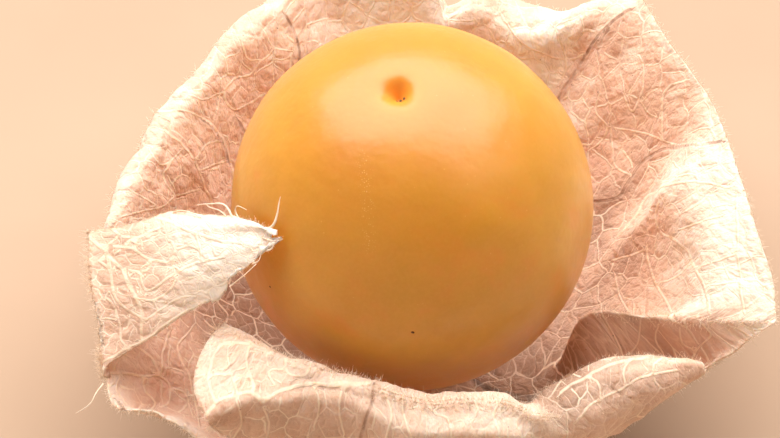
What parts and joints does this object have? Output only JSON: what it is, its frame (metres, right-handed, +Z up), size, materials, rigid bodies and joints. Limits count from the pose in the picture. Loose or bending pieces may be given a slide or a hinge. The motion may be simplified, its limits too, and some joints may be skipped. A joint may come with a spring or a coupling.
{
  "type": "physalis berry in its opened husk",
  "caption": "Round golden berry with a small blossom-end dimple, standing in its dry veined papery husk torn open at the top, with a short curved stalk; edible fruit prop.",
  "frame": {"origin": "middle of the footprint box, on the surface that the husk's flat underside rests on", "axes": "+Z up, from the stalk end to the blossom end of the berry; +Y towards the back, where the stalk lies; +X to the right seen from the front"},
  "size_m": [0.0364, 0.0328, 0.0225],
  "materials": {
    "berry_skin": "smooth waxy fruit skin, golden orange, soft broad highlights",
    "husk_paper": "dry papery calyx, cream to buff, raised net of pale veins, matte and slightly translucent",
    "stalk_bark": "thin dry stalk, straw brown, finely ridged, matte"
  },
  "bodies": {
    "root": {"berry": "berry_skin", "husk": "husk_paper", "stalk": "stalk_bark"}
  },
  "joints": []
}
